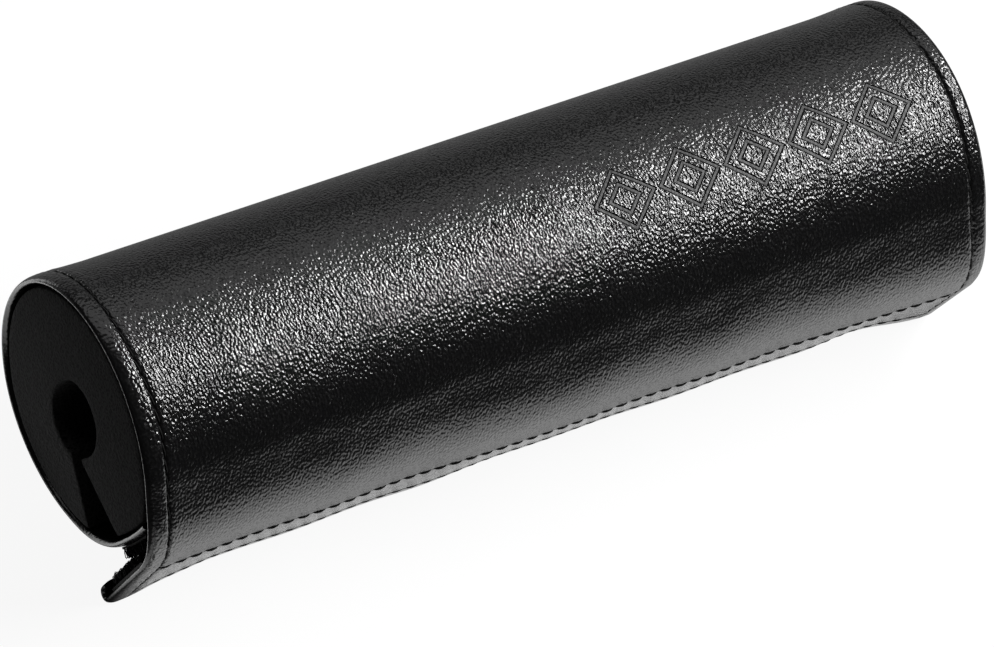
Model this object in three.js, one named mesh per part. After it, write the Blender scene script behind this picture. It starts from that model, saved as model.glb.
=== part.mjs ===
// Handlebar pad: a slit foam roll inside a leather-look cover. The cover is one sheet that is
// wound once round the foam, runs over its own tucked end and closes with hook and loop tape.
// Millimetres, +Z up, the bore along X. Every section below is drawn as the pad hangs on a bar,
// with its slit and flap underneath: `forward` is towards the rider's side, `up` is up, and an
// angle is measured round the bore from straight down, forward first. The finished pad is then
// turned to the way it lies on a table, on the flap's corners and a small flat under the roll.
import * as THREE from 'three';

// Cover
const padLength = 200; // over the two end hems
const wrapRadius = 30.7; // outside of the closed wrap
const leather = 0.95; // one layer of coated fabric
const endHemWidth = 8.5; // fabric folded under at each end
const seamInset = 4.2; // end seams, from the rim
const rimRounds = [20, 50, 90]; // degrees round a folded edge, from its crown
const foldShare = 0.45; // most that a folded edge rounds off, of the thickness

// Flap: a flat board from the crease to the rolled free edge
const boardLength = 24;
const rollWidth = 4; // rolled free edge
const rollThickness = 4;
const creaseAngle = 52;
const flapSlope = 47; // of the board from straight down, in the middle of the pad
const flapLift = 2.7; // of the crease above the wrap, in the middle of the pad
const liftAngle = 34; // turn in which the wrap climbs over the tucked end
const liftTop = 58; // angle at which the climb is done
const cornerSlope = 5.7; // the two corners stand off the roll by this much more
const cornerLift = 0.9;
const cornerReach = 25; // along the pad

// Tucked end
const tuckStart = 280;
const tuckFull = 360;
const riseStart = 400; // the end climbs to meet the wrap
const tuckEnd = 433;

// Tapes
const hookTapeThickness = 1.3;
const loopTapeThickness = 1;
const tapeBacking = 0.5;
const selvedge = 1.5; // bare margin of each tape
const fieldEdge = 0.2; // length over which the hooks or loops rise from the backing
const hookTapeInset = 2.5; // from the rims
const loopTapeInset = 6.5;
const loopTapeFrom = 397;
const loopTapeTo = 426;

// Seams
const stitchPitch = 3.6;
const threadDiameter = 0.5;
const threadRise = 0.3; // of a stitch over its holes
const threadQuarters = 1; // facets in a quarter of its girth
const rowInset = 1.3; // long seams, from the edges of the hook tape
const threadStop = 12; // end seams stop this many degrees short of the tucked end

// Foam
const boreDiameter = 18.6;
const boreBack = 0.6; // bore centre behind the wrap's centre
const foamRecess = 0.8; // below the rims
const slitMouth = [42, 370]; // angles of the two slit walls at the foam's surface
const slitRoot = [13, 351]; // and at the bore

// Fits and fineness
const clearance = 0.25; // between neighbouring pieces
const flatDepth = 0.28; // the roll is pressed flat where it lies
const step = 9; // degrees between stations round the roll
const fineStep = 4; // and where the cover leaves the round
const stepDown = 0.8; // length of a change in thickness

const radians = THREE.MathUtils.degToRad;
const ease = (from, to, value) => THREE.MathUtils.smoothstep(value, from, to);
const hem = 2 * leather;

// Stations from one value to another, sorted, and the same from both rims
const span = (from, to, largest) => {
  const count = Math.max(1, Math.ceil((to - from) / largest));
  return Array.from({ length: count + 1 }, (_, i) => from + ((to - from) * i) / count);
};
const inOrder = (values) =>
  [...values].sort((a, b) => a - b).filter((v, i, all) => i === 0 || v - all[i - 1] > 0.02);
const mirrored = (values) => inOrder([...values, ...values.map((x) => padLength - x)]);

// How far a place along the pad belongs to a corner: 1 at the rims, 0 in the middle
const corner = (x) => 1 - ease(0, cornerReach, Math.min(x, padLength - x));
const rimDistance = (x) => Math.min(x, padLength - x);
const inEndHem = (x) => 1 - ease(endHemWidth, endHemWidth + stepDown, rimDistance(x));

const liftAt = (x) => flapLift + cornerLift * corner(x);
const slopeAt = (x) => flapSlope - cornerSlope * corner(x);
const climb = (angle) => 1 - ease(liftTop, liftTop + liftAngle, angle);
const wrapFace = (angle, x) => wrapRadius + liftAt(x) * climb(angle);

// The tuck lies as deep as the tapes between it and the board need
const boardDistance = (wrapRadius + flapLift) * Math.cos(radians(creaseAngle + flapSlope - 90));
const tapeStack = hookTapeThickness + loopTapeThickness + 3 * clearance;
const tuckRadius = boardDistance - hem - tapeStack;
const tuckEndRadius = (x) => wrapFace(tuckEnd - 360, x) - hem - 2 * clearance;

// Radius of the cover's outer face, from the crease round to the tucked end
function coverRadius(angle, x) {
  const sink = (wrapRadius - tuckRadius) * ease(tuckStart, tuckFull, angle);
  const run = Math.max(0, (angle - riseStart) / (tuckEnd - riseStart));
  return wrapFace(angle, x) - sink + (tuckEndRadius(x) - tuckRadius) * run * run;
}

const polar = (radius, angle) =>
  new THREE.Vector2(radius * Math.sin(radians(angle)), -radius * Math.cos(radians(angle)));

// `s` is a place on the cover, measured along its outer face from the free edge of the flap
const arcPlace = (angle) => boardLength + radians(angle - creaseAngle) * wrapRadius;
const placeAngle = (s) => creaseAngle + THREE.MathUtils.radToDeg((s - boardLength) / wrapRadius);

function coverFace(s, x) {
  const crease = polar(coverRadius(creaseAngle, x), creaseAngle);
  const slope = radians(slopeAt(x));
  if (s <= boardLength) {
    const along = new THREE.Vector2(-Math.sin(slope), -Math.cos(slope));
    const outward = new THREE.Vector2(Math.cos(slope), -Math.sin(slope));
    return { point: crease.addScaledVector(along, boardLength - s), outward };
  }
  const angle = placeAngle(s);
  const ahead = polar(coverRadius(angle + 0.5, x), angle + 0.5);
  const behind = polar(coverRadius(angle - 0.5, x), angle - 0.5);
  const run = ahead.sub(behind).normalize();
  return { point: polar(coverRadius(angle, x), angle), outward: new THREE.Vector2(run.y, -run.x) };
}

const offFace = (s, x, offset) => {
  const { point, outward } = coverFace(s, x);
  return point.addScaledVector(outward, offset);
};

// Folded edges: stations round the fold, from its crown, and the depth below the face there
const roundStart = 1 - Math.cos(radians(rimRounds[0]));
const roundStations = (radius) =>
  rimRounds.map((a) => radius * (1 - Math.cos(radians(a)) - roundStart));

function roundDepth(distance, radius) {
  const across = Math.min(1, distance / radius + roundStart);
  return radius * (1 - Math.sqrt(1 - (1 - across) ** 2));
}

// Rest: the turn at which the rolled edge and the flattened roll reach equally far down
const rollRound = rollThickness / 2;
const underside = span(tuckStart, riseStart, 0.5);
const edgePoints = roundStations(rollRound).flatMap((s) => {
  const fold = roundDepth(s, rollRound);
  return [-fold, fold - rollThickness].map((offset) => offFace(s, leather, offset));
});
const depthOf = (point, turn) => -point.x * Math.sin(turn) - point.y * Math.cos(turn);
const undersideDepth = (angle, turn) => depthOf(polar(coverRadius(angle, 0), angle), turn);
const rollDepth = (turn) =>
  Math.max(...underside.map((angle) => undersideDepth(angle, turn))) - flatDepth;
const edgeDepth = (turn) => Math.max(...edgePoints.map((point) => depthOf(point, turn)));

function findRestTurn() {
  let low = 0;
  let high = Math.PI / 3;
  for (let i = 0; i < 40; i += 1) {
    const turn = (low + high) / 2;
    if (edgeDepth(turn) > rollDepth(turn)) low = turn;
    else high = turn;
  }
  return (low + high) / 2;
}

const restTurn = findRestTurn();
const floorDepth = rollDepth(restTurn);
const flat = underside.filter((angle) => undersideDepth(angle, restTurn) > floorDepth);

// Presses a point of the roll back until it lies `above` mm over the table
function pressed(point, above) {
  const over = Math.max(0, depthOf(point, restTurn) - floorDepth + above);
  point.x += over * Math.sin(restTurn);
  point.y += over * Math.cos(restTurn);
  return point;
}

// A place of the finished cover, `offset` mm out from its face and `above` mm over the table
function atOffset(s, x, offset, above) {
  const point = offFace(s, x, offset);
  return s > boardLength ? pressed(point, above) : point;
}

// A solid between two faces, each a function of a station pair that gives a section point
function sheetSolid(places, lengths, outerFace, innerFace) {
  const rows = places.length;
  const columns = lengths.length;
  const positions = [];
  for (const face of [outerFace, innerFace]) {
    for (const place of places) {
      for (const x of lengths) {
        const { x: forward, y: up } = face(place, x);
        positions.push(x, -forward, up);
      }
    }
  }
  const outer = (i, j) => i * columns + j;
  const inner = (i, j) => (rows + i) * columns + j;
  const index = [];
  const quad = (a, b, c, d) => index.push(a, c, b, a, d, c);
  for (let i = 0; i < rows - 1; i += 1) {
    for (let j = 0; j < columns - 1; j += 1) {
      quad(outer(i, j), outer(i + 1, j), outer(i + 1, j + 1), outer(i, j + 1));
      quad(inner(i, j), inner(i, j + 1), inner(i + 1, j + 1), inner(i + 1, j));
    }
    const last = columns - 1;
    quad(outer(i, 0), inner(i, 0), inner(i + 1, 0), outer(i + 1, 0));
    quad(outer(i, last), outer(i + 1, last), inner(i + 1, last), inner(i, last));
  }
  for (let j = 0; j < columns - 1; j += 1) {
    const last = rows - 1;
    quad(outer(0, j), outer(0, j + 1), inner(0, j + 1), inner(0, j));
    quad(outer(last, j), inner(last, j), inner(last, j + 1), outer(last, j + 1));
  }
  const geometry = new THREE.BufferGeometry();
  geometry.setAttribute('position', new THREE.Float32BufferAttribute(positions, 3));
  geometry.setIndex(index);
  geometry.computeVertexNormals();
  return geometry;
}

const grooveDepth = threadDiameter + clearance;
const grooveHalf = threadDiameter / 2 + clearance;
const grooveFloor = grooveHalf * 0.4;
const grooveStations = (middle) =>
  [-grooveHalf, -grooveFloor, grooveFloor, grooveHalf].map((d) => middle + d);
// Long seams on the board
const edgeRow = rollWidth + clearance + rowInset;
const creaseRow = boardLength - rowInset;
const longRows = [edgeRow, creaseRow];

const grooveAt = (distance) =>
  grooveDepth * (1 - ease(grooveFloor, grooveHalf, Math.abs(distance)));

function seamGroove(s, x) {
  const inset = rimDistance(x);
  const rows = inset < seamInset ? [] : longRows.map((row) => grooveAt(s - row));
  return Math.max(grooveAt(inset - seamInset), ...rows);
}

function coverThickness(s, x) {
  const roll = 1 - ease(rollWidth - stepDown, rollWidth, s);
  const board = 1 - ease(boardLength, boardLength + stepDown, s);
  const folded = Math.max(board, inEndHem(x));
  return THREE.MathUtils.lerp(leather + leather * folded, rollThickness, roll);
}

const edgeRounding = (s, x) => roundDepth(rimDistance(x), leather) + roundDepth(s, rollRound);

function coverOuter(s, x) {
  const fold = Math.min(edgeRounding(s, x), coverThickness(s, x) * foldShare);
  const depth = Math.max(fold, seamGroove(s, x));
  return atOffset(s, x, -depth, depth);
}

function coverInner(s, x) {
  const thickness = coverThickness(s, x);
  const fold = Math.min(edgeRounding(s, x), thickness * foldShare);
  return atOffset(s, x, fold - thickness, thickness);
}

function makeCover() {
  const places = inOrder([
    ...roundStations(rollRound),
    rollWidth - stepDown,
    rollWidth,
    ...longRows.flatMap(grooveStations),
    boardLength,
    boardLength + stepDown,
    ...span(creaseAngle + fineStep, liftTop + liftAngle, fineStep).map(arcPlace),
    ...span(liftTop + liftAngle, flat[0], step).map(arcPlace),
    ...span(flat[0], flat.at(-1), step).map(arcPlace),
    ...span(flat.at(-1), riseStart, step).map(arcPlace),
    ...span(riseStart, tuckEnd, fineStep).map(arcPlace),
  ]);
  const lengths = mirrored([
    ...roundStations(leather),
    ...grooveStations(seamInset),
    ...span(endHemWidth + stepDown, cornerReach, cornerReach / 3),
    endHemWidth,
    padLength / 2,
  ]);
  return sheetSolid(places, lengths, coverOuter, coverInner);
}

// Foam: fills the cover, with the bore and the wedge-shaped slit that lets it over a bar
const innermost = (angle) => (angle < tuckEnd - 360 ? angle + 360 : angle);

function foamOuter(angle, x) {
  const skin = leather + leather * inEndHem(x - Math.sign(padLength / 2 - x) * clearance);
  const wound = innermost(angle);
  const radius = wound < liftTop + liftAngle ? wrapRadius : coverRadius(wound, x);
  return pressed(polar(radius - skin - clearance, angle), skin + clearance);
}

function foamBore(angle) {
  const along = (angle - slitMouth[0]) / (slitMouth[1] - slitMouth[0]);
  const point = polar(boreDiameter / 2, THREE.MathUtils.lerp(...slitRoot, along));
  point.x -= boreBack;
  return point;
}

function makeFoam() {
  const angles = span(...slitMouth, step);
  const bulge = endHemWidth + clearance;
  const lengths = mirrored([foamRecess, bulge, bulge + stepDown, cornerReach, padLength / 2]);
  return sheetSolid(angles, lengths, foamOuter, foamBore);
}

// Tapes: a backing with a raised field of hooks or loops between two bare margins
function fieldHeight(place, from, to, thickness) {
  const margin = Math.min(place - from, to - place);
  return THREE.MathUtils.lerp(tapeBacking, thickness, ease(selvedge - fieldEdge, selvedge, margin));
}
const tapePlaces = (from, to, largest) =>
  inOrder([
    ...[0, selvedge - fieldEdge, selvedge].flatMap((d) => [from + d, to - d]),
    ...span(from + selvedge, to - selvedge, largest),
  ]);

function makeHookTape() {
  const from = rollWidth + clearance;
  const bed = -hem - clearance;
  const lengths = mirrored([hookTapeInset, ...span(endHemWidth, cornerReach, cornerReach / 3)]);
  const face = (s, x) => offFace(s, x, bed);
  const hooks = (s, x) => offFace(s, x, bed - fieldHeight(s, from, boardLength, hookTapeThickness));
  return sheetSolid(tapePlaces(from, boardLength, boardLength), lengths, face, hooks);
}

function makeLoopTape() {
  const from = arcPlace(loopTapeFrom);
  const to = arcPlace(loopTapeTo);
  const lengths = mirrored([loopTapeInset, ...span(endHemWidth, cornerReach, cornerReach / 3)]);
  const bed = (s, x) => offFace(s, x, clearance);
  const loops = (s, x) => offFace(s, x, clearance + fieldHeight(s, from, to, loopTapeThickness));
  return sheetSolid(tapePlaces(from, to, arcPlace(step) - arcPlace(0)), lengths, loops, bed);
}

// Threads: one continuous thread lies in each seam groove and dips at every stitch hole
class SeamCurve extends THREE.Curve {
  constructor(from, to, place) {
    super();
    const length = Math.abs(to - from);
    this.stitches = Math.round(length / stitchPitch);
    this.at = (t) => place(THREE.MathUtils.lerp(from, to, t));
  }

  getPoint(t) {
    const { s, x } = this.at(t);
    const wave = (1 - Math.cos(2 * Math.PI * this.stitches * t)) / 2;
    const half = threadDiameter / 2;
    const { x: forward, y: up } = atOffset(s, x, threadRise * wave - half, half);
    return new THREE.Vector3(x, -forward, up);
  }

  getPointAt(t) {
    return this.getPoint(t);
  }
}

function makeThread(curve) {
  const section = new THREE.Shape();
  section.absarc(0, 0, threadDiameter / 2, 0, 2 * Math.PI, false);
  return new THREE.ExtrudeGeometry(section, {
    curveSegments: 2 * threadQuarters,
    steps: 2 * curve.stitches,
    extrudePath: curve,
    bevelEnabled: false,
  });
}

const endSeam = (x) =>
  makeThread(new SeamCurve(edgeRow, arcPlace(tuckEnd - threadStop), (s) => ({ s, x })));
const rowEnd = seamInset + grooveHalf + threadDiameter;
const longSeam = (s) =>
  makeThread(new SeamCurve(rowEnd, padLength - rowEnd, (x) => ({ s, x })));

// Finishes
const finish = (color, roughness) => new THREE.MeshStandardMaterial({ color, roughness, metalness: 0 });

const pad = new THREE.Group();
const addPiece = (name, geometry, material) => {
  const mesh = new THREE.Mesh(geometry, material);
  mesh.name = name;
  pad.add(mesh);
};
addPiece('cover', makeCover(), finish(0x232324, 0.42));
addPiece('foam_core', makeFoam(), finish(0x151515, 0.95));
addPiece('hook_tape', makeHookTape(), finish(0x0e0e0e, 0.8));
addPiece('loop_tape', makeLoopTape(), finish(0x101010, 1));
addPiece('near_end_thread', endSeam(seamInset), finish(0x0a0a0a, 0.6));
addPiece('far_end_thread', endSeam(padLength - seamInset), finish(0x0a0a0a, 0.6));
addPiece('flap_crease_thread', longSeam(creaseRow), finish(0x0a0a0a, 0.6));
addPiece('flap_edge_thread', longSeam(edgeRow), finish(0x0a0a0a, 0.6));

// At rest on the table, centred over the origin
pad.rotation.x = -restTurn;
const model = new THREE.Group();
model.add(pad);
model.updateMatrixWorld(true);
const box = new THREE.Box3().setFromObject(pad, true);
const middle = box.getCenter(new THREE.Vector3());
pad.position.set(-middle.x, -middle.y, -box.min.z);

export default model;
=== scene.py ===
import math
import random

import bpy
import numpy as np
from mathutils import Matrix, Vector


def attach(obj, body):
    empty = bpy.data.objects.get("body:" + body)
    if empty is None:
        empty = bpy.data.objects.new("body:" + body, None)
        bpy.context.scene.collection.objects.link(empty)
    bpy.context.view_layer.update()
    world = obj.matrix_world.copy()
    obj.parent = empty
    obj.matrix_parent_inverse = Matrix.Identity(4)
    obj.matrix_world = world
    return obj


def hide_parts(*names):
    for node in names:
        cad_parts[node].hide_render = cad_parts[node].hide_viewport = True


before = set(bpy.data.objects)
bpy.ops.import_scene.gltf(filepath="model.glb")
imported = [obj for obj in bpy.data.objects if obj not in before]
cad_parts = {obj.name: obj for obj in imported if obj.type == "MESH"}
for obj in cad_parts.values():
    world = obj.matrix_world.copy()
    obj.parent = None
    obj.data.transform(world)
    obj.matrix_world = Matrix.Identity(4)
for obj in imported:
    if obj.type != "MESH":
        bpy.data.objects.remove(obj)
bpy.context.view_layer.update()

# Sizes are in metres and angles in degrees. A section of the pad is drawn as the pad hangs on a
# bar, with its slit and flap underneath: forward is to the rider's side, up is up, and an angle
# goes round the bore from straight down, forward first. The pad is then turned as it lies.
pad = {
    "length": 0.200,
    "wrapRadius": 0.0307,
    "restTurn": 28.713,  # from how it hangs to how it lies
    "smoothAngle": 40,  # sharpest edge that is still shaded smooth
    "axisY": 0.001723,  # where the wrap's axis is as it lies
    "axisZ": 0.028669,  # and how far it is above the table
}


def smooth(low, high, value):
    share = min(1.0, max(0.0, (value - low) / (high - low)))
    return share * share * (3 - 2 * share)


def spaced(start, end, largest):
    count = max(1, math.ceil((end - start) / largest - 1e-6))
    return [start + (end - start) * i / count for i in range(count + 1)]


def inOrder(values, least=0.00002):
    kept = []
    for value in sorted(values):
        if not kept or value - kept[-1] > least:
            kept.append(value)
    return kept


def eased(x, knots):
    for (start, low), (end, high) in zip(knots, knots[1:]):
        if x <= end:
            return low + (high - low) * smooth(start, end, x)
    return knots[-1][1]


def bell(value, middle, width):
    return math.exp(-(((value - middle) / width) ** 2))


def fromBothEnds(values):
    return inOrder([*values, *(pad["length"] - value for value in values)])


def polar(radius, angle):
    turn = math.radians(angle)
    return Vector((radius * math.sin(turn), -radius * math.cos(turn)))


restCos = math.cos(math.radians(pad["restTurn"]))
restSin = math.sin(math.radians(pad["restTurn"]))


def placed(x, point):
    # From a section point to its place in the frame, with the pad lying on the table
    return Vector((
        x - pad["length"] / 2,
        pad["axisY"] - point.x * restCos + point.y * restSin,
        pad["axisZ"] + point.x * restSin + point.y * restCos,
    ))


def pressed(point, above):
    # The soft roll is flat where it lies: the point stays `above` the table
    depth = -point.x * restSin - point.y * restCos
    over = max(0.0, depth - pad["axisZ"] + above)
    return Vector((point.x + over * restSin, point.y + over * restCos))


class Link:
    def __init__(self, tree, socket=None):
        self.tree = tree
        self.socket = socket

    def node(self, kind, inputs=None, output=0, **settings):
        made = self.tree.nodes.new(kind)
        for name, value in settings.items():
            setattr(made, name, value)
        for key, value in (inputs or {}).items():
            if isinstance(value, Link):
                self.tree.links.new(value.socket, made.inputs[key])
            else:
                made.inputs[key].default_value = value
        return Link(self.tree, made.outputs[output])

    def maths(self, operation, *values):
        return self.node("ShaderNodeMath", dict(enumerate(values)), operation=operation)

    def __add__(self, other):
        return self.maths("ADD", self, other)

    def __radd__(self, other):
        return self.maths("ADD", other, self)

    def __sub__(self, other):
        return self.maths("SUBTRACT", self, other)

    def __rsub__(self, other):
        return self.maths("SUBTRACT", other, self)

    def __mul__(self, other):
        return self.maths("MULTIPLY", self, other)

    def __rmul__(self, other):
        return self.maths("MULTIPLY", other, self)

    def __truediv__(self, other):
        return self.maths("DIVIDE", self, other)

    def ramp(self, low, high):
        # 0 below low and 1 above high, smooth between them
        return self.node(
            "ShaderNodeMapRange",
            {"Value": self, "From Min": low, "From Max": high},
            interpolation_type="SMOOTHSTEP",
        )


def newMaterial(name):
    material = bpy.data.materials.new(name)
    material.use_nodes = True
    shader = material.node_tree.nodes["Principled BSDF"]
    return material, shader, Link(material.node_tree)


def joinTo(shader, name, value):
    shader.id_data.links.new(value.socket, shader.inputs[name])


def blended(start, factor, first, second):
    # A colour between two, by a factor that changes over the surface
    return start.node(
        "ShaderNodeMix",
        {"Factor": factor, "A": (*first, 1), "B": (*second, 1)},
        output=2,
        data_type="RGBA",
    )


def gridPiece(name, rows, columns, place):
    # A flat grid is added and each of its points is brought to its place
    bpy.ops.object.select_all(action="DESELECT")
    bpy.ops.mesh.primitive_grid_add(
        x_subdivisions=len(columns) - 1, y_subdivisions=len(rows) - 1, size=1
    )
    piece = bpy.context.object
    piece.name = piece.data.name = name
    mesh = piece.data
    spots = [place(row, column) for row in rows for column in columns]
    mesh.vertices.foreach_set("co", np.array(spots, float).ravel())
    corners = np.zeros(len(mesh.loops), int)
    mesh.loops.foreach_get("vertex_index", corners)
    flat = np.array([(column, row) for row in rows for column in columns], float)
    mesh.uv_layers.active.data.foreach_set("uv", flat[corners].ravel())
    mesh.update()
    return piece


def applied(piece, kind, **settings):
    bpy.context.view_layer.objects.active = piece
    modifier = piece.modifiers.new(kind.title(), kind)
    for name, value in settings.items():
        setattr(modifier, name, value)
    bpy.ops.object.modifier_apply(modifier=modifier.name)


def shadedSmooth(piece):
    bpy.ops.object.select_all(action="DESELECT")
    piece.select_set(True)
    bpy.context.view_layer.objects.active = piece
    bpy.ops.object.shade_smooth_by_angle(angle=math.radians(pad["smoothAngle"]))


def copiesJoined(name, model, turns):
    # One small model repeated at each place, joined into one mesh
    spots = np.array([v.co for v in model.data.vertices], float)
    faces = [list(p.vertices) for p in model.data.polygons]
    layer = model.data.uv_layers.active.data
    modelUv = [tuple(item.uv) for item in layer]
    allSpots = []
    allFaces = []
    for count, turn in enumerate(turns):
        matrix = np.array(turn, float)
        allSpots.append(spots @ matrix[:3, :3].T + matrix[:3, 3])
        first = count * len(spots)
        allFaces.extend([[first + index for index in face] for face in faces])
    mesh = bpy.data.meshes.new(name)
    mesh.from_pydata(np.concatenate(allSpots).tolist(), [], allFaces)
    mesh.uv_layers.new(name="UVMap")
    mesh.uv_layers.active.data.foreach_set("uv", np.array(modelUv * len(turns), float).ravel())
    mesh.polygons.foreach_set("use_smooth", [True] * len(mesh.polygons))
    piece = bpy.data.objects.new(name, mesh)
    bpy.context.scene.collection.objects.link(piece)
    bpy.data.objects.remove(model)
    return piece


def turnedTo(place, along, outward):
    # A matrix whose x runs along and whose z points outward
    side = outward.cross(along).normalized()
    along = side.cross(outward).normalized()
    matrix = Matrix((along, side, outward)).transposed().to_4x4()
    matrix.translation = place
    return matrix


cover = {
    "leather": 0.0008,  # one layer
    "hemDepth": 0.0019,  # two layers at the end hems
    "hemWidth": 0.0085,
    "nearReach": 0.0025,  # how far in from a rim the fold begins to turn
    "farReach": 0.0011,
    "rimFlare": 0.0002,  # the hems stand a little proud of the wrap
    "backFlare": 0.0007,  # and more at the back
    "backBell": (262, 33),  # middle and width of the back, round the bore
    "farBulge": 0.0006,  # the far rim stands out a little along the pad at the top
    "topBell": (150, 38),
    "flareEnd": (0.003, 0.014),  # from a rim, where the flare and the bulge fade out
    "rimFade": 0.0004,  # half the width over which a seam's shape ends at a rim
    "boardLength": 0.024,  # flap, from the crease to its free edge
    "rollThickness": 0.004,  # free edge, folded back on itself
    "rollWidth": 0.004,
    "creaseAngle": 52,
    "flapSlope": 47,  # of the flap from straight down
    "flapLift": 0.0027,  # of the crease above the wrap
    "liftAngle": 34,
    "liftTop": 58,
    "cornerSlope": 5.7,
    "cornerLift": 0.0003,
    "cornerReach": 0.025,
    "tuckStart": 280,
    "tuckFull": 360,
    "riseStart": 400,
    "tuckEnd": 433,
    "creaseCuts": (-0.0003, 0, 0.0003, 0.0008, 0.0015),  # where the mesh is cut near the crease
    "tuckRadius": 0.02664,  # outer face of the tucked end, under the tapes
    "layerGap": 0.0005,
    "wrapHem": 0.0019,
    # waves of the crease along the pad: wavelength, start, height
    "waves": [(0.083, 0.3, 0.00022), (0.047, 2.1, 0.00016), (0.029, 4.0, 0.00008)],
    # how many degrees the flap hangs steeper along the pad
    "sag": [(0, 0.8), (0.009, 1.2), (0.021, 2.5), (0.05, 2.9), (0.07, 3.4), (0.093, 0.7),
            (0.118, 1.8), (0.142, 2.3), (0.166, 2.3), (0.186, -1.2), (0.2, -0.9)],
}

seams = {
    "pitch": 0.0036,
    "nearInset": 0.00455,  # end rows, from the rims
    "farInset": 0.0036,
    "sway": 0.0005,  # how far those rows wander
    "swayNear": 123,
    "swayFar": 97,
    "swayWidth": 17,
    "swayFade": (0.0025, 0.009),  # past the row, where the leather stops following
    "edgeRow": 0.00555,  # long rows, from the flap's free edge
    "creaseRow": 0.0227,
    "grooveDepth": 0.0003,
    "grooveWidth": 0.00026,
    "holeDepth": 0.0002,
    "holeWidth": 0.00045,
    "pucker": 0.00011,
    "puckerFrom": 0.0013,  # its middle, from the row
    "puckerWidth": 0.0008,
    "cuts": (0.0022, 0.0012, 0.0007, 0.0004, 0.00018),  # where the mesh is cut beside a row
    "threadRadius": 0.00021,
    "farRadius": 0.00027,
    "creasePull": 1.5,  # the row at the crease is pulled in deeper, with a thicker thread
    "creaseRadius": 0.00034,
    "creaseRise": 0.00012,
    "slant": 7,  # of each stitch to its row
    "stop": 12,
}


def rimDistance(x):
    return min(x, pad["length"] - x)


def corner(x):
    return 1 - smooth(0, cover["cornerReach"], rimDistance(x))


def waved(x):
    turn = 2 * math.pi * x
    return sum(height * math.sin(turn / wave + start) for wave, start, height in cover["waves"])


def liftAt(x):
    return cover["flapLift"] + cover["cornerLift"] * corner(x) + waved(x)


def slopeAt(x):
    return cover["flapSlope"] - cover["cornerSlope"] * corner(x) - eased(x, cover["sag"])


def wrapFace(angle, x):
    climb = 1 - smooth(cover["liftTop"], cover["liftTop"] + cover["liftAngle"], angle)
    return pad["wrapRadius"] + liftAt(x) * climb


def coverRadius(angle, x):
    # Outer face of the cover, from the crease round to the tucked end
    sink = (pad["wrapRadius"] - cover["tuckRadius"]) * smooth(
        cover["tuckStart"], cover["tuckFull"], angle
    )
    run = max(0.0, (angle - cover["riseStart"]) / (cover["tuckEnd"] - cover["riseStart"]))
    endRadius = wrapFace(cover["tuckEnd"] - 360, x) - cover["wrapHem"] - cover["layerGap"]
    return wrapFace(angle, x) - sink + (endRadius - cover["tuckRadius"]) * run * run


def arcPlace(angle):
    return cover["boardLength"] + math.radians(angle - cover["creaseAngle"]) * pad["wrapRadius"]


def placeAngle(place):
    return cover["creaseAngle"] + math.degrees((place - cover["boardLength"]) / pad["wrapRadius"])


def coverFace(place, x):
    # Section point and outward direction of the finished face, `place` in from the free edge
    if place <= cover["boardLength"]:
        slope = math.radians(slopeAt(x))
        crease = polar(coverRadius(cover["creaseAngle"], x), cover["creaseAngle"])
        down = Vector((-math.sin(slope), -math.cos(slope)))
        outward = Vector((math.cos(slope), -math.sin(slope)))
        return crease + down * (cover["boardLength"] - place), outward
    angle = placeAngle(place)
    run = polar(coverRadius(angle + 0.5, x), angle + 0.5)
    run -= polar(coverRadius(angle - 0.5, x), angle - 0.5)
    run.normalize()
    return polar(coverRadius(angle, x), angle), Vector((run.y, -run.x))


def offFace(place, x, offset):
    point, outward = coverFace(place, x)
    return point + outward * offset


def fold(path, halfDepth, reach):
    # A sheet folded back under itself: place along its face, depth below it and turn of its face
    mean = (halfDepth + reach) / 2
    if path >= reach:
        return path, 0.0, 0.0
    angle = (reach - path) / mean
    if angle < math.pi:
        turn = math.atan2(math.sin(angle) * halfDepth, math.cos(angle) * reach)
        return reach - reach * math.sin(angle), halfDepth * (1 - math.cos(angle)), turn
    return reach + (angle - math.pi) * mean, 2 * halfDepth, math.pi


def foldLength(halfDepth, reach):
    return math.pi * (halfDepth + reach) / 2 - reach


def seamShape(distance, along, pull=1.0):
    # Height of the face near a row of stitches: a groove, a dip at each hole and a little pucker
    phase = (1 + math.cos(2 * math.pi * along / seams["pitch"])) / 2
    groove = seams["grooveDepth"] * bell(distance, 0, seams["grooveWidth"])
    hole = seams["holeDepth"] * phase * bell(distance, 0, seams["holeWidth"])
    pucker = seams["pucker"] * (1 - phase)
    pucker *= bell(abs(distance), seams["puckerFrom"], seams["puckerWidth"])
    return (pucker - groove - hole) * pull


def rimRow(x):
    # Reach of the rim's fold, inset of the end row and the angle where the row wanders in
    if x < pad["length"] / 2:
        return cover["nearReach"], seams["nearInset"], seams["swayNear"]
    return cover["farReach"], seams["farInset"], seams["swayFar"]


def swayed(place, x, inset):
    # The end rows are not quite straight, and the leather beside them follows
    reach, row, angle = rimRow(x)
    fadeFrom, fadeTo = seams["swayFade"]
    share = smooth(reach, row, inset) * (1 - smooth(row + fadeFrom, row + fadeTo, inset))
    return inset + seams["sway"] * bell(placeAngle(place), angle, seams["swayWidth"]) * share


def faceHeight(place, x):
    inset = rimDistance(x)
    reach, row, _ = rimRow(x)
    height = seamShape(inset - row, place - seams["edgeRow"])
    if inset > row:
        height += seamShape(place - seams["edgeRow"], x - seams["nearInset"])
        height += seamShape(place - seams["creaseRow"], x - seams["nearInset"], seams["creasePull"])
    return height * smooth(reach - cover["rimFade"], reach + cover["rimFade"], inset)


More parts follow.
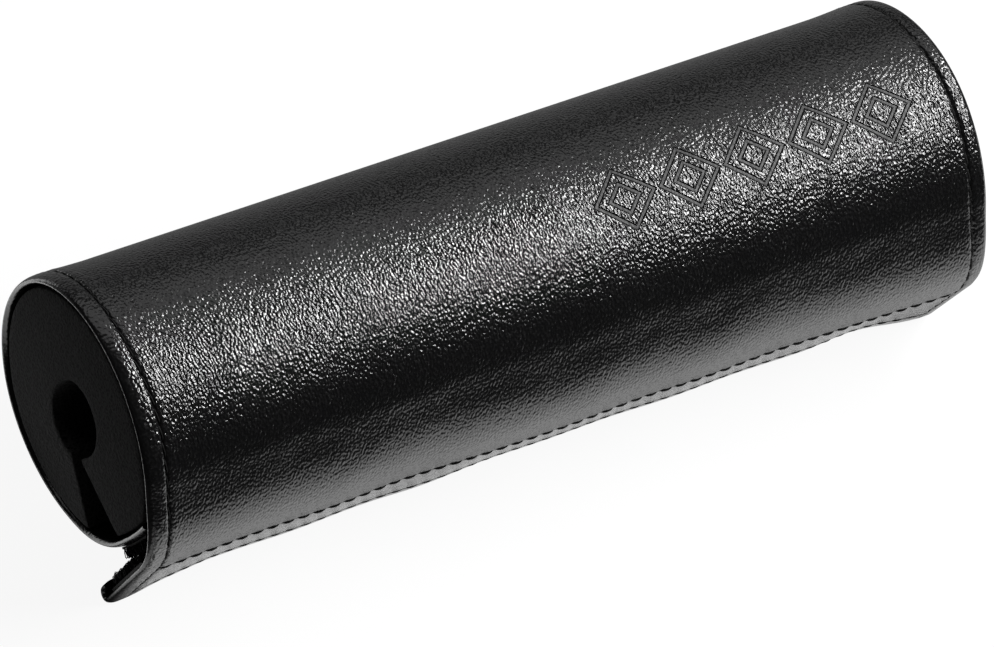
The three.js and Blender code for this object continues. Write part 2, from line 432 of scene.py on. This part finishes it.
def coverPlace(path, across):
    # `path` runs from the end of the flap's fold to the tucked end and `across` over both hems
    place, tipDepth, tipTurn = fold(path, cover["rollThickness"] / 2, cover["rollThickness"] / 2)
    nearSide = across < pad["length"] / 2
    inset = across if nearSide else pad["length"] - across
    reach, _, _ = rimRow(across)
    inset, hemDepth, _ = fold(inset, cover["hemDepth"] / 2, reach)
    plain = inset if nearSide else pad["length"] - inset
    back = bell(placeAngle(place), *cover["backBell"])
    beside = 1 - smooth(*cover["flareEnd"], inset)
    height = (cover["rimFlare"] + cover["backFlare"] * back) * beside
    if tipDepth == 0 and hemDepth == 0:
        height += faceHeight(place, plain)
        inset = swayed(place, plain, inset)
    x = inset
    if not nearSide:
        top = bell(placeAngle(place), *cover["topBell"])
        x = pad["length"] - inset + cover["farBulge"] * top * beside
    point, outward = coverFace(place, x)
    slope = Vector((-outward.y, outward.x))
    tipward = -slope if slope.dot(coverFace(place + 0.001, x)[0] - point) > 0 else slope
    facing = outward * math.cos(tipTurn) + tipward * math.sin(tipTurn)
    point = point - outward * tipDepth - facing * (hemDepth - height)
    if place > cover["boardLength"]:
        point = pressed(point, hemDepth)
    return placed(x, point)


def rimCrossings(reach, row, steps):
    rimFold = foldLength(cover["hemDepth"] / 2, reach)
    return [
        *spaced(-rimFold - (cover["hemWidth"] - reach), -rimFold, 0.0024),
        *spaced(-rimFold, reach, rimFold / 10),
        *(row + step for step in steps if row + step > reach + 0.0001),
    ]


def makeCover():
    third = seams["pitch"] / 3
    seamEdge = seams["cuts"][0]
    seamSteps = [0, *(side * cut for cut in seams["cuts"] for side in (-1, 1))]
    roll = cover["rollThickness"] / 2
    tipFold = foldLength(roll, roll)
    paths = inOrder([
        *spaced(-tipFold - (cover["rollWidth"] - roll), -tipFold, 0.001),
        *spaced(-tipFold, roll, tipFold / 9),
        *(seams["edgeRow"] + step for step in seamSteps),
        *spaced(seams["edgeRow"] + seamEdge, seams["creaseRow"] - seamEdge, third),
        *(seams["creaseRow"] + step for step in seamSteps),
        *(cover["boardLength"] + cut for cut in cover["creaseCuts"]),
        *spaced(cover["boardLength"] + seamEdge, arcPlace(cover["tuckEnd"]), third),
    ], 0.0001)
    crossings = inOrder([
        *rimCrossings(cover["nearReach"], seams["nearInset"], seamSteps),
        *spaced(seams["nearInset"] + seamEdge, pad["length"] - seams["farInset"] - seamEdge, third),
        *(pad["length"] - value
          for value in rimCrossings(cover["farReach"], seams["farInset"], seamSteps)),
    ])
    piece = gridPiece("coverSheet", paths, crossings, coverPlace)
    flat = (crossings[-1] - crossings[0], paths[-1] - paths[0])
    applied(piece, "SOLIDIFY", thickness=cover["leather"], offset=-1, material_offset=1,
            material_offset_rim=1)
    return piece, flat


coverSheet, coverFlat = makeCover()
print("cover", len(coverSheet.data.polygons), "faces, cut", coverFlat)

foam = {
    "boreRadius": 0.00912,
    "boreBack": 0.00073,
    "boreUp": 0.00023,
    "boreOval": 0.001,  # the squeezed bore is this much longer and narrower than round
    "ovalTurn": 140,
    "recess": 0.0004,
    "mouth": (42, 370),
    "root": (13, 351),
    "clearance": 0.00025,
    "edge": 0.0004,
    "layer": 0.00095,  # one layer of the cover, as the foam leaves room for it
    "hemStart": 0.0003,  # how far past the hem the second layer begins to end
    "hemEnd": 0.0008,  # and over what length
    "turnStep": 3,
    "endLengths": (0.0045, 0.0085, 0.0092, 0.0096),
    "midFrom": 0.0125,
    "midStep": 0.008,
    "faceCuts": 9,  # on an end face, from the outside to the bore
    "sharp": 42,
}


def foamFace(angle, x):
    hemEnd = cover["hemWidth"] + foam["hemEnd"]
    inHem = 1 - smooth(cover["hemWidth"], hemEnd, rimDistance(x) - foam["hemStart"])
    skin = foam["layer"] * (1 + inHem) + foam["clearance"]
    wound = angle + 360 if angle < cover["tuckEnd"] - 360 else angle
    climbing = wound < cover["liftTop"] + cover["liftAngle"]
    radius = pad["wrapRadius"] if climbing else coverRadius(wound, x)
    return placed(x, pressed(polar(radius - skin, angle), skin))


def boreFace(angle, x):
    share = (angle - foam["mouth"][0]) / (foam["mouth"][1] - foam["mouth"][0])
    angle = foam["root"][0] + share * (foam["root"][1] - foam["root"][0])
    oval = foam["boreOval"] * math.cos(math.radians(2 * (angle - foam["ovalTurn"])))
    point = polar(foam["boreRadius"] + oval, angle)
    return placed(x, point + Vector((-foam["boreBack"], foam["boreUp"])))


def makeFoam():
    angles = spaced(*foam["mouth"], foam["turnStep"])
    lengths = fromBothEnds([
        foam["recess"], *foam["endLengths"],
        *spaced(foam["midFrom"], pad["length"] / 2, foam["midStep"]),
    ])
    piece = gridPiece("foamRoll", angles, lengths, foamFace)
    outerCount = len(piece.data.vertices)
    applied(piece, "SOLIDIFY", thickness=0.001, offset=-1)
    # The inner wall goes to the bore, and the two long sides become the slit's walls
    inner = [boreFace(angle, x) for angle in angles for x in lengths]
    for vertex, spot in zip(piece.data.vertices[outerCount:], inner):
        vertex.co = spot
    bpy.ops.object.mode_set(mode="EDIT")
    bpy.ops.mesh.select_mode(type="EDGE")
    bpy.ops.mesh.select_all(action="DESELECT")
    bpy.ops.object.mode_set(mode="OBJECT")
    for edge in piece.data.edges:
        first, second = edge.vertices
        edge.select = (first < outerCount) != (second < outerCount)
    bpy.ops.object.mode_set(mode="EDIT")
    bpy.ops.mesh.subdivide(number_cuts=foam["faceCuts"])
    bpy.ops.mesh.select_all(action="DESELECT")
    bpy.ops.mesh.edges_select_sharp(sharpness=math.radians(foam["sharp"]))
    bpy.ops.mesh.bevel(offset=foam["edge"], segments=2, affect="EDGES")
    bpy.ops.object.mode_set(mode="OBJECT")
    return piece


foamRoll = makeFoam()
print("foam", len(foamRoll.data.polygons), "faces")

tapes = {
    "backing": 0.0005,
    "hookHeight": 0.0018,
    "loopHeight": 0.0021,
    "bed": 0.00025,  # between the cover and a backing
    "hookFrom": 0.00425,
    "hookInset": 0.0012,
    "loopInset": 0.0016,
    "loopFrom": 397,
    "loopTo": 426,
    "selvedge": 0.0015,
    "hookPitch": 0.0012,
    "loopPitch": 0.0011,
    "endPitch": 0.35,  # of the pitch, at the two ends
    "endReach": 0.006,
    "pileInset": 0.0005,
    "sunk": 0.9,  # of the backing's thickness, where the pile starts
    "shift": 0.3,  # of the pitch, at random
    "tip": 0.3,
    "twist": 0.6,
    "hookStep": 0.003,  # largest steps of the two backings round the roll
    "loopStep": 0.0015,
    "endLengths": (0.0085, 0.012),
    "midFrom": 0.016,
    "midStep": 0.006,
    "hookRod": (4, 5, 0.0001),  # sides, rings and radius
    "loopRod": (4, 6, 0.00012),
    "hookStem": 0.7,  # straight share of a hook's height
    "hookTurn": 0.95,  # of half a circle
    "hookThin": 0.85,
    "loopHalf": 0.0004,
    "seed": 7,
}


def tapeBacking(name, places, inset, offset):
    middle = spaced(tapes["midFrom"], pad["length"] / 2, tapes["midStep"])
    lengths = fromBothEnds([inset, *tapes["endLengths"], *middle])
    piece = gridPiece(name, places, lengths, lambda place, x: placed(x, offFace(place, x, offset)))
    applied(piece, "SOLIDIFY", thickness=tapes["backing"], offset=1)
    return piece


def pileTurns(first, last, inset, pitch, offset, sign, dice):
    # Where the hooks or loops stand on a tape, each turned and tipped a little at random, and
    # closer together at the ends, where they are seen from the side
    turns = []
    shift, tip, twist = tapes["shift"], tapes["tip"], tapes["twist"]
    spots = [(place, x) for place in spaced(first, last, pitch)
             for x in spaced(inset, pad["length"] - inset, pitch)]
    close = pitch * tapes["endPitch"]
    spots += [(place, x) for place in spaced(first, last, close)
              for x in fromBothEnds(spaced(inset, inset + tapes["endReach"], close))]
    for place, x in spots:
        spotX = x + dice.uniform(-shift, shift) * pitch
        spotPlace = place + dice.uniform(-shift, shift) * pitch
        point, outward = coverFace(spotPlace, spotX)
        foot = placed(spotX, point + outward * offset)
        outer = (placed(spotX, point + outward * (offset + 0.001)) - foot).normalized() * sign
        outer += Vector(dice.uniform(-tip, tip) for _ in range(3))
        along = Vector((1, dice.uniform(-twist, twist), dice.uniform(-twist, twist)))
        turns.append(turnedTo(foot, along, outer.normalized()))
    return turns


def bentRod(name, sides, rings, radius, line):
    # A thin cylinder added upright and bent along a line of places
    bpy.ops.object.select_all(action="DESELECT")
    bpy.ops.mesh.primitive_cylinder_add(
        vertices=sides, radius=radius, depth=1, end_fill_type="NGON", calc_uvs=True
    )
    rod = bpy.context.object
    rod.name = name
    bpy.ops.object.mode_set(mode="EDIT")
    bpy.ops.mesh.select_mode(type="EDGE")
    bpy.ops.mesh.select_all(action="DESELECT")
    bpy.ops.object.mode_set(mode="OBJECT")
    for edge in rod.data.edges:
        ends = [rod.data.vertices[i].co.z for i in edge.vertices]
        edge.select = abs(ends[0] - ends[1]) > 0.5
    bpy.ops.object.mode_set(mode="EDIT")
    bpy.ops.mesh.subdivide(number_cuts=rings - 1)
    bpy.ops.object.mode_set(mode="OBJECT")
    for vertex in rod.data.vertices:
        share = vertex.co.z + 0.5
        place, across = line(share)
        vertex.co = place + across * vertex.co.x + Vector((0, vertex.co.y, 0))
    return rod


def hookLine(share):
    stem = tapes["hookHeight"] * tapes["hookStem"]
    if share < 0.5:
        return Vector((0, 0, stem * share * 2)), Vector((1, 0, 0))
    turn = math.pi * (share - 0.5) * 2 * tapes["hookTurn"]
    radius = tapes["hookHeight"] - stem
    place = Vector((radius * (1 - math.cos(turn)), 0, stem + radius * math.sin(turn)))
    return place, Vector((math.cos(turn), 0, -math.sin(turn))) * tapes["hookThin"]


def loopLine(share):
    turn = math.pi * share
    place = Vector((-tapes["loopHalf"] * math.cos(turn), 0, tapes["loopHeight"] * math.sin(turn)))
    return place, Vector((-math.cos(turn), 0, math.sin(turn)))


def makeTapes():
    dice = random.Random(tapes["seed"])
    hookPlaces = spaced(tapes["hookFrom"], cover["boardLength"], tapes["hookStep"])
    loopPlaces = spaced(arcPlace(tapes["loopFrom"]), arcPlace(tapes["loopTo"]), tapes["loopStep"])
    hookBed = -(cover["hemDepth"] + tapes["bed"])
    hookBase = tapeBacking("hookTape", hookPlaces, tapes["hookInset"], hookBed)
    loopBase = tapeBacking("loopTape", loopPlaces, tapes["loopInset"], tapes["bed"])
    edge = tapes["selvedge"]
    sunk = tapes["backing"] * tapes["sunk"]
    hookTurns = pileTurns(
        hookPlaces[0] + edge, hookPlaces[-1] - edge, tapes["hookInset"] + tapes["pileInset"],
        tapes["hookPitch"], hookBed - sunk, -1, dice,
    )
    loopTurns = pileTurns(
        loopPlaces[0] + edge, loopPlaces[-1] - edge, tapes["loopInset"] + tapes["pileInset"],
        tapes["loopPitch"], tapes["bed"] + sunk, 1, dice,
    )
    hooks = copiesJoined("hookPile", bentRod("hook", *tapes["hookRod"], hookLine), hookTurns)
    loops = copiesJoined("loopPile", bentRod("loop", *tapes["loopRod"], loopLine), loopTurns)
    return hookBase, loopBase, hooks, loops


hookTape, loopTape, hookPile, loopPile = makeTapes()
print("tapes", len(hookPile.data.polygons), len(loopPile.data.polygons), "faces of pile")

stitch = {
    "half": 0.49,  # of the pitch
    "rise": 0.0005,
    "sink": 0.00045,  # of its ends below the face
    "roundness": 0.35,  # the smaller, the squarer the stitch
    "lean": 0.6,
    "narrowing": 0.4,
    "rod": (8, 6),  # sides and rings
    "pressed": 1.6,  # thread radii left under the roll where it lies on a seam
}


def stitchLine(share):
    half = seams["pitch"] * stitch["half"]
    rise = math.sin(math.pi * share) ** stitch["roundness"] * stitch["rise"] - stitch["sink"]
    lean = math.cos(math.pi * share) * stitch["lean"]
    across = Vector((lean, 0, 1 - abs(lean) * stitch["narrowing"]))
    return Vector((half * (2 * share - 1), 0, rise)), across


def stitchRow(name, count, spot, radius):
    # `spot` gives the place and outward direction at a distance along the row
    turns = []
    for index in range(count):
        middle = (index + 0.5) * seams["pitch"]
        before, _ = spot(middle - seams["pitch"] / 2)
        after, _ = spot(middle + seams["pitch"] / 2)
        place, outward = spot(middle)
        matrix = turnedTo(place, (after - before).normalized(), outward)
        turns.append(matrix @ Matrix.Rotation(math.radians(seams["slant"]), 4, "Z"))
    return copiesJoined(name, bentRod("stitch", *stitch["rod"], radius, stitchLine), turns)


def faceSpot(place, x, lift=0.0):
    point, outward = coverFace(place, x)
    point += outward * lift
    if place > cover["boardLength"]:
        point = pressed(point, seams["threadRadius"] * stitch["pressed"])
    spot = placed(x, point)
    return spot, (placed(x, point + outward * 0.001) - spot).normalized()


def makeStitches():
    near = seams["nearInset"]
    far = seams["farInset"]
    around = arcPlace(cover["tuckEnd"] - seams["stop"]) - seams["edgeRow"]
    aroundCount = int(around / seams["pitch"])
    alongCount = int((pad["length"] - near - far) / seams["pitch"])

    def nearSpot(run):
        place = seams["edgeRow"] + run
        return faceSpot(place, swayed(place, near, near))

    def farSpot(run):
        place = seams["edgeRow"] + run
        return faceSpot(place, pad["length"] - swayed(place, pad["length"] - far, far))

    def alongSpot(row, lift=0.0):
        return lambda run: faceSpot(row, near + run, lift)

    thread = seams["threadRadius"]
    atCrease = alongSpot(seams["creaseRow"], seams["creaseRise"])
    atEdge = alongSpot(seams["edgeRow"])
    return {
        "near_end_thread": stitchRow("nearEndStitches", aroundCount, nearSpot, thread),
        "far_end_thread": stitchRow("farEndStitches", aroundCount, farSpot, seams["farRadius"]),
        "flap_crease_thread": stitchRow(
            "creaseStitches", alongCount, atCrease, seams["creaseRadius"]
        ),
        "flap_edge_thread": stitchRow("edgeStitches", alongCount, atEdge, thread),
    }


stitchRows = makeStitches()
print("stitches", sum(len(row.data.polygons) for row in stitchRows.values()), "faces")


def leatherMaterial():
    look = {
        "colour": (0.0045, 0.0045, 0.0047),
        "worn": (0.009, 0.009, 0.0092),
        "grain": 0.00053,  # across one wrinkle of the grain
        "stretch": 0.75,  # of the grain along the pad to the grain round it
        "lean": -12,
        "relief": 0.63,  # of the grain
        "height": 0.00028,
        "flatNear": (0.0004, 0.0026),  # from a rim, where the grain begins and is full
        "flatFar": (0.0002, 0.0016),
        "flatShare": 0.75,  # of the grain that is gone at a rim
        "calmFrom": (62, 78),  # round the bore, where the grain is less deep above the crease
        "calmTo": (98, 112),
        "calmShare": 0.45,  # of the grain that is gone there
        "swellSize": 0.012,
        "swell": 0.8,
        "gloss": 0.165,
        "motifs": 5,  # diamonds pressed in beside the far end
        "motifFrom": 0.119,
        "motifPitch": 0.0155,
        "motifHalf": (0.0069, 0.0066),
        "motifAngle": 143,
        "motifLine": (0.05, 0.12),  # from the middle of a line to its edges, as shares
        "motifRings": (0.25, 1.2),  # from the middle of a diamond, where its lines begin and end
        "motifSpacing": 0.25,  # of those lines
        "motifSmooth": 0.6,  # of the grain that is gone in a line
        "motifDepth": 1.9,
    }
    material, shader, start = newMaterial("coverLeather")
    flat = start.node("ShaderNodeUVMap", uv_map="UVMap")
    leant = start.node(
        "ShaderNodeMapping",
        {"Vector": flat, "Rotation": (0, 0, math.radians(look["lean"])),
         "Scale": (1, look["stretch"], 1)},
    )
    wrinkle = start.node(
        "ShaderNodeTexNoise",
        {"Vector": leant, "Scale": 1 / look["grain"], "Detail": 0.0, "Distortion": 0.2},
        noise_dimensions="2D",
    )
    swell = start.node(
        "ShaderNodeTexNoise",
        {"Vector": flat, "Scale": 1 / look["swellSize"], "Detail": 2.0, "Roughness": 0.5},
        noise_dimensions="2D",
    )
    spread = start.node("ShaderNodeSeparateXYZ", {"Vector": flat})
    acrossAll = spread - look["motifFrom"]
    lastHalf = look["motifPitch"] * (look["motifs"] - 0.5)
    inRow = start.maths("LESS_THAN", acrossAll, lastHalf) * start.maths(
        "GREATER_THAN", acrossAll, -look["motifPitch"] / 2
    )
    fromMiddle = start.maths("PINGPONG", acrossAll, look["motifPitch"] / 2)
    around = start.node("ShaderNodeSeparateXYZ", {"Vector": flat}, output=1)
    above = start.maths("ABSOLUTE", around - arcPlace(look["motifAngle"]))
    diamond = fromMiddle / look["motifHalf"][0] + above / look["motifHalf"][1]
    line = start.maths("PINGPONG", diamond, look["motifSpacing"])
    inmost, outmost = look["motifRings"]
    inside = start.maths("LESS_THAN", diamond, outmost)
    inside *= start.maths("GREATER_THAN", diamond, inmost)
    pressedIn = (1 - line.ramp(*look["motifLine"])) * inside * inRow
    # The grain is pulled flat where the leather turns over a rim
    full = spread.ramp(*look["flatNear"]) * (pad["length"] - spread).ramp(*look["flatFar"])
    full = full * look["flatShare"] + (1 - look["flatShare"])
    # and it is less deep in a band above the crease
    calm = around.ramp(*map(arcPlace, look["calmFrom"]))
    calm *= 1 - around.ramp(*map(arcPlace, look["calmTo"]))
    grain = wrinkle * full * (1 - calm * look["calmShare"]) * look["relief"]
    height = grain * (1 - pressedIn * look["motifSmooth"]) + swell * look["swell"]
    height -= pressedIn * look["motifDepth"]
    bump = start.node(
        "ShaderNodeBump", {"Strength": 1.0, "Distance": look["height"], "Height": height}
    )
    joinTo(shader, "Normal", bump)
    tone = blended(start, wrinkle.ramp(0.5, 0.8), look["colour"], look["worn"])
    joinTo(shader, "Base Color", tone)
    joinTo(shader, "Roughness", look["gloss"] + swell * 0.07 + pressedIn * 0.33)
    shader.inputs["Specular IOR Level"].default_value = 0.55
    return material


def backingMaterial():
    material, shader, start = newMaterial("coverBacking")
    flat = start.node("ShaderNodeUVMap", uv_map="UVMap")
    weave = start.node(
        "ShaderNodeTexWave",
        {"Vector": flat, "Scale": 1 / 0.0016, "Distortion": 1.5, "Detail": 1.0},
        bands_direction="DIAGONAL",
        output=1,
    )
    tone = blended(start, weave, (0.004, 0.004, 0.004), (0.014, 0.014, 0.014))
    joinTo(shader, "Base Color", tone)
    joinTo(shader, "Normal", start.node(
        "ShaderNodeBump", {"Strength": 0.6, "Distance": 0.0001, "Height": weave}
    ))
    shader.inputs["Roughness"].default_value = 0.85
    return material


def foamMaterial():
    material, shader, start = newMaterial("closedCellFoam")
    spot = start.node("ShaderNodeTexCoord", output="Object")
    cells = start.node(
        "ShaderNodeTexVoronoi", {"Vector": spot, "Scale": 1 / 0.0007}, feature="F1"
    )
    patches = start.node(
        "ShaderNodeTexNoise",
        {"Vector": spot, "Scale": 1 / 0.0022, "Detail": 4.0, "Roughness": 0.65},
    )
    tone = (cells.ramp(0.15, 0.75) * 0.6 + patches * 0.7).ramp(0.38, 0.78)
    joinTo(shader, "Base Color", blended(start, tone, (0.002, 0.002, 0.002), (0.03, 0.03, 0.03)))
    joinTo(shader, "Normal", start.node(
        "ShaderNodeBump",
        {"Strength": 0.8, "Distance": 0.00025, "Height": patches * 1.2 - cells},
    ))
    shader.inputs["Roughness"].default_value = 0.92
    shader.inputs["Specular IOR Level"].default_value = 0.25
    return material


def yarnMaterial(name, dark, pale, roughness):
    material, shader, start = newMaterial(name)
    spot = start.node("ShaderNodeTexCoord", output="Object")
    fibres = start.node(
        "ShaderNodeTexNoise", {"Vector": spot, "Scale": 1 / 0.0003, "Detail": 3.0, "Roughness": 0.6}
    )
    joinTo(shader, "Base Color", blended(start, fibres, (dark,) * 3, (pale,) * 3))
    joinTo(shader, "Normal", start.node(
        "ShaderNodeBump", {"Strength": 0.5, "Distance": 0.00008, "Height": fibres}
    ))
    shader.inputs["Roughness"].default_value = roughness
    shader.inputs["Specular IOR Level"].default_value = 0.2
    return material


leather = leatherMaterial()
backing = backingMaterial()
coverSheet.data.materials.append(leather)
coverSheet.data.materials.append(backing)
foamRoll.data.materials.append(foamMaterial())
hookYarn = yarnMaterial("hookNylon", 0.001, 0.004, 0.7)
loopYarn = yarnMaterial("loopNylon", 0.001, 0.004, 0.85)
threadYarn = yarnMaterial("sewingThread", 0.001, 0.0035, 0.75)
for piece, material in ((hookTape, hookYarn), (hookPile, hookYarn), (loopTape, loopYarn),
                        (loopPile, loopYarn)):
    piece.data.materials.append(material)
for row in stitchRows.values():
    row.data.materials.append(threadYarn)

for piece in (coverSheet, foamRoll, hookTape, loopTape):
    shadedSmooth(piece)

for piece, node, slot in (
    (coverSheet, "cover", "cover_leather"),
    (foamRoll, "foam_core", "foam"),
    (hookTape, "hook_tape", "hook_tape"),
    (loopTape, "loop_tape", "loop_tape"),
    *((row, node, "thread") for node, row in stitchRows.items()),
):
    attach(piece, "root")
    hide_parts(node)
for pile, slot in ((hookPile, "hook_tape"), (loopPile, "loop_tape")):
    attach(pile, "root")

# The camera sees an even white table. The table also glows for reflection rays alone, in soft bands
# in front of the pad and a stripe at its near end. This is painted reflection, set by trial in the
# main view, that lays painted highlights and darker bands on the leather. Distances are from the
# pad's middle, in pairs that say where a band begins to change and where it is done.
table = {
    "size": 30,
    "colour": (0.08, 0.08, 0.08, 1),
    "glow": 0.92,
    "frontRise": (0, 0.018),
    "frontStrength": 1.05,
    "dip": (0.025, 0.031),
    "dipDepth": 0.63,
    "beyond": (0.024, 0.06),
    "beyondStrength": 1.42,
    "frontFade": (0.095, 0.24),
    "frontSide": (0.088, 0.1),
    "behindFade": (-0.06, 0),
    "behindStrength": 0.12,
    "endRise": (0.1008, 0.102),
    "endStrength": 0.6,
    "stripe": (0.103, 0.1036),
    "stripeStrength": 1.2,
    "endFade": (0.118, 0.135),
    "endFront": (0.016, 0.026),
    "endDrop": 0.4,
}

studio = {
    "softboxTowards": (0.598, -0.035, 0.801),
    "softboxDistance": 0.95,
    "softboxSize": (0.8, 0.1),
    "softboxPower": 13.5,
    "backSize": (3.8, 1.9),
    "backPlace": (0.7, 1.6, 1.6),
    "backPower": 17,
    "world": 0.025,
}


def makeFloor():
    bpy.ops.object.select_all(action="DESELECT")
    bpy.ops.mesh.primitive_plane_add(size=table["size"])
    floor = bpy.context.object
    floor.name = "table"
    material = bpy.data.materials.new("tableTopWithPaintedReflection")
    material.use_nodes = True
    tree = material.node_tree
    tree.nodes.clear()
    start = Link(tree)
    camera, glossy, through = (
        start.node("ShaderNodeLightPath", output=f"Is {kind} Ray")
        for kind in ("Camera", "Glossy", "Transmission")
    )
    spot = start.node("ShaderNodeTexCoord", output="Object")
    before, beside = (
        start.node("ShaderNodeVectorMath", {0: spot, 1: way}, output=1, operation="DOT_PRODUCT")
        for way in ((0, -1, 0), (-1, 0, 0))
    )
    # Painted reflection: bands that glow only for reflection rays, brighter and darker, to light
    # and shade the leather in front
    front = before.ramp(*table["frontRise"])
    front *= table["frontStrength"] - before.ramp(*table["dip"]) * table["dipDepth"]
    front += before.ramp(*table["beyond"]) * table["beyondStrength"]
    front *= 1 - before.ramp(*table["frontFade"])
    front *= 1 - beside.ramp(*table["frontSide"])
    behind = (1 - before.ramp(*table["behindFade"])) * table["behindStrength"]
    # Painted highlight for the near end: a band and a thin stripe that the near rim reflects as a
    # pale line
    end = beside.ramp(*table["endRise"]) * table["endStrength"]
    end += beside.ramp(*table["stripe"]) * table["stripeStrength"]
    end *= 1 - beside.ramp(*table["endFade"])
    end *= 1 - before.ramp(*table["endFront"]) * table["endDrop"]
    # The painted reflection is seen only by glossy and transmission rays; the camera sees plain
    # white
    paintedReflection = start.maths("MAXIMUM", front + behind, end)
    shown = start.maths("MAXIMUM", camera, start.maths("MAXIMUM", glossy, through) * paintedReflection)
    matt = start.node("ShaderNodeBsdfDiffuse", {"Color": table["colour"]})
    glow = start.node(
        "ShaderNodeEmission", {"Color": (1, 1, 1, 1), "Strength": shown * table["glow"]}
    )
    both = start.node("ShaderNodeAddShader", {0: matt, 1: glow})
    output = tree.nodes.new("ShaderNodeOutputMaterial")
    tree.links.new(both.socket, output.inputs["Surface"])
    floor.data.materials.append(material)


def areaLight(name, place, target, size, power):
    lamp = bpy.data.lights.new(name, "AREA")
    lamp.shape = "RECTANGLE"
    lamp.size, lamp.size_y = size
    lamp.energy = power
    holder = bpy.data.objects.new(name, lamp)
    holder.location = place
    holder.rotation_euler = (Vector(target) - Vector(place)).to_track_quat("-Z", "Y").to_euler()
    bpy.context.scene.collection.objects.link(holder)


def makeCamera():
    view = {
        "place": (-0.874954, -0.716358, 1.786876),
        "turn": (29.5994, -14.1854, -27.4806),
        "lens": 366.91,
    }
    data = bpy.data.cameras.new("camera")
    data.lens = view["lens"]
    data.sensor_width = 36
    data.clip_start = 0.05
    data.clip_end = 60
    holder = bpy.data.objects.new("camera", data)
    holder.location = view["place"]
    holder.rotation_euler = [math.radians(angle) for angle in view["turn"]]
    bpy.context.scene.collection.objects.link(holder)
    bpy.context.scene.camera = holder


makeFloor()
softbox = Vector(studio["softboxTowards"]) * studio["softboxDistance"]
areaLight("softbox", softbox, (0, 0, 0.03), studio["softboxSize"], studio["softboxPower"])
backSize, backPower = studio["backSize"], studio["backPower"]
areaLight("backPanel", studio["backPlace"], (0, 0, 0.1), backSize, backPower)
world = bpy.data.worlds.new("studio")
world.use_nodes = True
world.node_tree.nodes["Background"].inputs["Color"].default_value = (1, 1, 1, 1)
world.node_tree.nodes["Background"].inputs["Strength"].default_value = studio["world"]
bpy.context.scene.world = world
makeCamera()
bpy.context.scene.view_settings.view_transform = "Standard"
